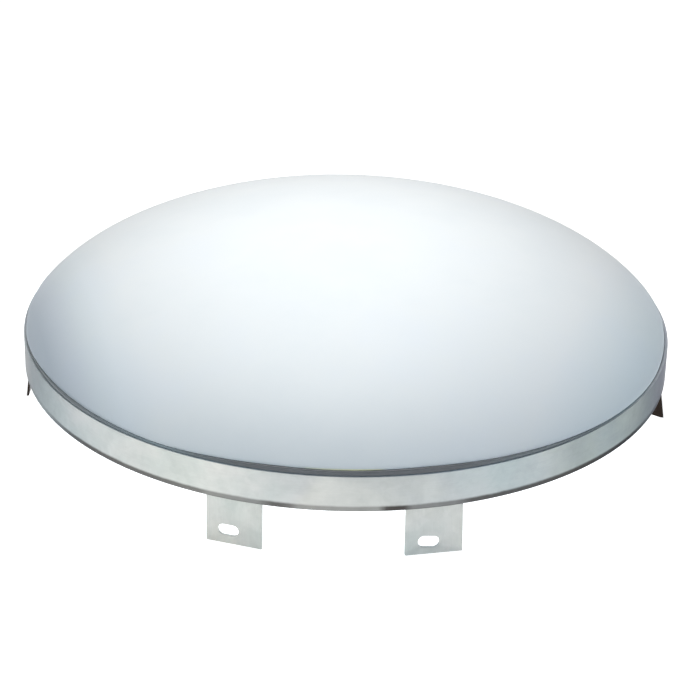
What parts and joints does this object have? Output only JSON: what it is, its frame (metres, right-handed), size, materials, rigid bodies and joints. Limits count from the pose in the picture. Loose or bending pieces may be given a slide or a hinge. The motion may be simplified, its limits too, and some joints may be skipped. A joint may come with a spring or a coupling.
{
  "type": "dish radome",
  "caption": "Shallow moulded radome that covers a two-foot dish, held in a zinc-plated clamp hoop with slotted mounting tabs.",
  "frame": {"origin": "on the dome's axis, at the level of the mounting tabs' lower ends", "axes": "+Z along the dome's axis, out of the crown; -Y is the front, midway between the two front tabs; +X to the right seen from the front"},
  "size_m": [0.61, 0.6129, 0.174],
  "materials": {
    "shell_plastic": "glossy, faintly blue white",
    "rubber": "matt extruded rubber",
    "band_zinc": "bright zinc plate, faintly mottled",
    "tab_zinc": "satin zinc plate",
    "ring_zinc": "dull zinc plate",
    "rivet_steel": "satin zinc plate"
  },
  "bodies": {
    "root": {"radome_shell": "shell_plastic", "edge_gasket": "rubber", "rim_band": "band_zinc", "clamp_ring": "ring_zinc", "tab_front_left": "tab_zinc", "tab_front_right": "tab_zinc", "tab_side_left": "tab_zinc", "tab_side_right": "tab_zinc", "tab_rear_right": "tab_zinc", "tab_rear_left": "tab_zinc", "tab_rivet_front_left_a": "rivet_steel", "tab_rivet_front_left_b": "rivet_steel", "tab_rivet_front_right_a": "rivet_steel", "tab_rivet_front_right_b": "rivet_steel", "tab_rivet_side_left_a": "rivet_steel", "tab_rivet_side_left_b": "rivet_steel", "tab_rivet_side_right_a": "rivet_steel", "tab_rivet_side_right_b": "rivet_steel", "tab_rivet_rear_right_a": "rivet_steel", "tab_rivet_rear_right_b": "rivet_steel", "tab_rivet_rear_left_a": "rivet_steel", "tab_rivet_rear_left_b": "rivet_steel", "band_joint_strap": "band_zinc", "strap_rivet_left_lower": "rivet_steel", "strap_rivet_left_upper": "rivet_steel", "strap_rivet_right_lower": "rivet_steel", "strap_rivet_right_upper": "rivet_steel"}
  },
  "joints": []
}
